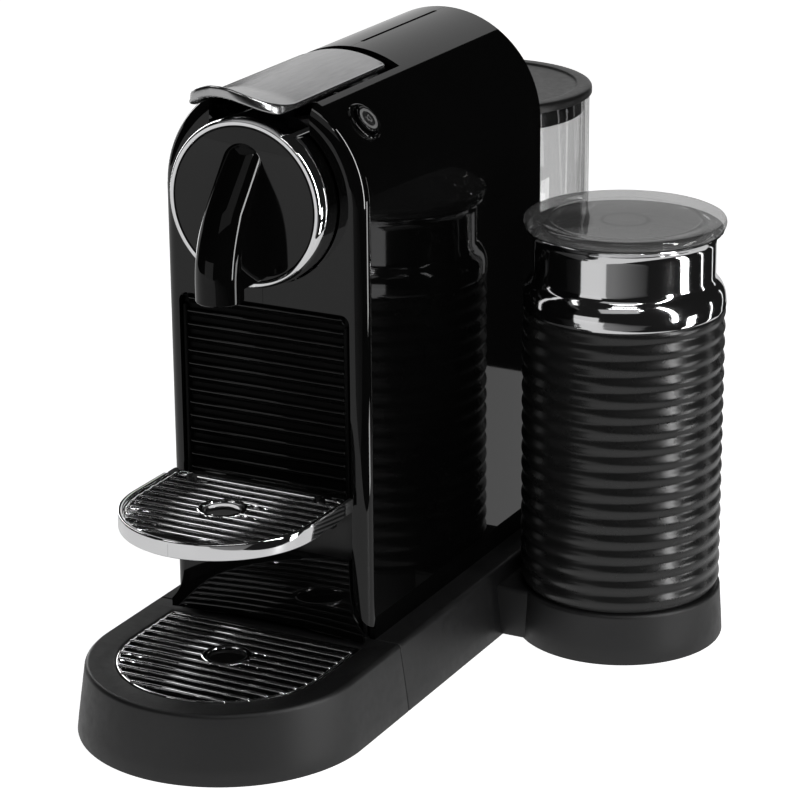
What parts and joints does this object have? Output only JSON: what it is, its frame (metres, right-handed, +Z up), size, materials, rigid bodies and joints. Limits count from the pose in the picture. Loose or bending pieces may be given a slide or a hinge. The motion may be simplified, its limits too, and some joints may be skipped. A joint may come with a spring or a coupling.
{
  "type": "pod coffee machine",
  "caption": "Slim capsule coffee machine with arched gloss body, folding cup tray, rear water tank and a milk frother jug on a round side base.",
  "frame": {"origin": "middle of the whole footprint, on the table under the rubber feet", "axes": "+Z up, +Y from the front to the back, +X to the right seen from the front"},
  "size_m": [0.2234, 0.3718, 0.2838],
  "materials": {
    "base_black": "fine satin grain",
    "inner_black": "matte",
    "gloss_black": "high gloss",
    "rubber": "matte",
    "frame_steel": "brushed",
    "chrome": "polished",
    "lever_metal": "satin",
    "cast_metal": "cast",
    "pump_brass": "satin",
    "clear_tube": "milky",
    "board": "satin",
    "pin_steel": "satin",
    "piston_black": "satin",
    "clear_tank": "clear, polished",
    "lid_black": "satin",
    "sleeve_black": "satin, soft touch",
    "can_steel": "fine brushed",
    "whisk_steel": "polished",
    "clear_lid": "clear, slightly smoky",
    "seal_grey": "satin"
  },
  "bodies": {
    "root": {"rear_base": "base_black", "bottom_plates": "inner_black", "rubber_feet": "rubber", "cord_inlet": "inner_black", "tank_dock": "inner_black", "tank_socket": "inner_black", "shell_left": "gloss_black", "shell_right": "gloss_black", "back_cover": "inner_black", "frame_side_left": "frame_steel", "frame_side_right": "frame_steel", "frame_bulkhead": "frame_steel", "frame_deck": "frame_steel", "top_insert": "inner_black", "brew_ring": "chrome", "brew_face": "gloss_black", "spout": "gloss_black", "brew_head": "cast_metal", "piston_guide": "frame_steel", "lever_bracket": "frame_steel", "pump": "pump_brass", "pump_mounts": "rubber", "flow_meter": "clear_tube", "thermoblock": "cast_metal", "control_board": "board", "button_switches": "board", "water_tubes": "clear_tube", "case_screws": "pin_steel", "hinge_pins": "pin_steel", "frother_base": "base_black", "jug_connector": "inner_black"},
    "lever": {"lever_plate": "lever_metal", "lever_arms": "cast_metal"},
    "piston": {"capsule_piston": "piston_black"},
    "rocker": {"piston_rocker": "pin_steel"},
    "espresso_key": {"espresso_button": "chrome"},
    "lungo_key": {"lungo_button": "chrome"},
    "capsule_unit": {"capsule_container": "inner_black", "grille_front": "gloss_black", "splash_panel": "gloss_black", "tray_bracket": "inner_black"},
    "cup_tray": {"cup_tray_band": "chrome", "cup_tray_grid": "chrome", "cup_tray_pan": "inner_black", "cup_tray_pins": "pin_steel"},
    "drip_tray": {"drip_tray_cover": "base_black", "drip_tub": "inner_black"},
    "grid": {"drip_grid": "chrome"},
    "water_tank": {"tank": "clear_tank", "tank_valve": "piston_black"},
    "tank_cap": {"tank_lid": "lid_black"},
    "jug": {"jug_bottom": "inner_black", "jug_sleeve": "sleeve_black", "jug_collar": "chrome", "jug_can": "can_steel", "jug_drive": "can_steel"},
    "whisk_wheel": {"whisk": "whisk_steel"},
    "jug_cap": {"jug_lid": "clear_lid", "jug_lid_seal": "seal_grey"},
    "jug_key": {"jug_button": "sleeve_black"}
  },
  "joints": [
    {"name": "lever_hinge", "type": "hinge", "parent": "root", "child": "lever", "pos_m": [-0.04579, -0.0185, 0.26], "axis": [-1, 0, 0], "range_deg": [0, 80]},
    {"name": "piston_slide", "type": "slide", "parent": "root", "child": "piston", "axis": [0, 1, 0], "range_m": [0, 0.018]},
    {"name": "rocker_swing", "type": "hinge", "parent": "root", "child": "rocker", "pos_m": [-0.04579, -0.0085, 0.196], "axis": [-1, 0, 0], "range_deg": [0, 32.6]},
    {"name": "espresso_press", "type": "slide", "parent": "root", "child": "espresso_key", "axis": [0.7615, 0, -0.6481], "range_m": [0, 0.0012], "stiffness_N_per_m": 500},
    {"name": "lungo_press", "type": "slide", "parent": "root", "child": "lungo_key", "axis": [-0.7615, 0, -0.6481], "range_m": [0, 0.0012], "stiffness_N_per_m": 500},
    {"name": "capsule_unit_slide", "type": "slide", "parent": "root", "child": "capsule_unit", "axis": [0, -1, 0], "range_m": [0, 0.125]},
    {"name": "cup_tray_fold", "type": "hinge", "parent": "capsule_unit", "child": "cup_tray", "pos_m": [-0.04579, -0.0895, 0.0956], "axis": [-1, 0, 0], "range_deg": [0, 88]},
    {"name": "drip_tray_slide", "type": "slide", "parent": "root", "child": "drip_tray", "axis": [0, -1, 0], "range_m": [0, 0.2]},
    {"name": "drip_grid_lift", "type": "slide", "parent": "drip_tray", "child": "grid", "axis": [0, 0, 1], "range_m": [0, 0.045]},
    {"name": "tank_lift", "type": "slide", "parent": "root", "child": "water_tank", "axis": [0, 0, 1], "range_m": [0, 0.08]},
    {"name": "tank_lid_lift", "type": "slide", "parent": "water_tank", "child": "tank_cap", "axis": [0, 0, 1], "range_m": [0, 0.04]},
    {"name": "jug_lift", "type": "slide", "parent": "root", "child": "jug", "axis": [0, 0, 1], "range_m": [0, 0.06]},
    {"name": "jug_lid_lift", "type": "slide", "parent": "jug", "child": "jug_cap", "axis": [0, 0, 1], "range_m": [0, 0.05]},
    {"name": "whisk_spin", "type": "hinge", "parent": "jug", "child": "whisk_wheel", "pos_m": [0.06361, 0.0539, 0.05], "axis": [0, 0, 1], "continuous": true},
    {"name": "jug_button_press", "type": "slide", "parent": "jug", "child": "jug_key", "axis": [0, -1, 0], "range_m": [0, 0.001], "stiffness_N_per_m": 400}
  ],
  "couplings": [
    {"joint": "piston_slide", "follows": "lever_hinge", "m_per_rad": 0.01288},
    {"joint": "rocker_swing", "follows": "lever_hinge", "ratio": 0.405}
  ]
}
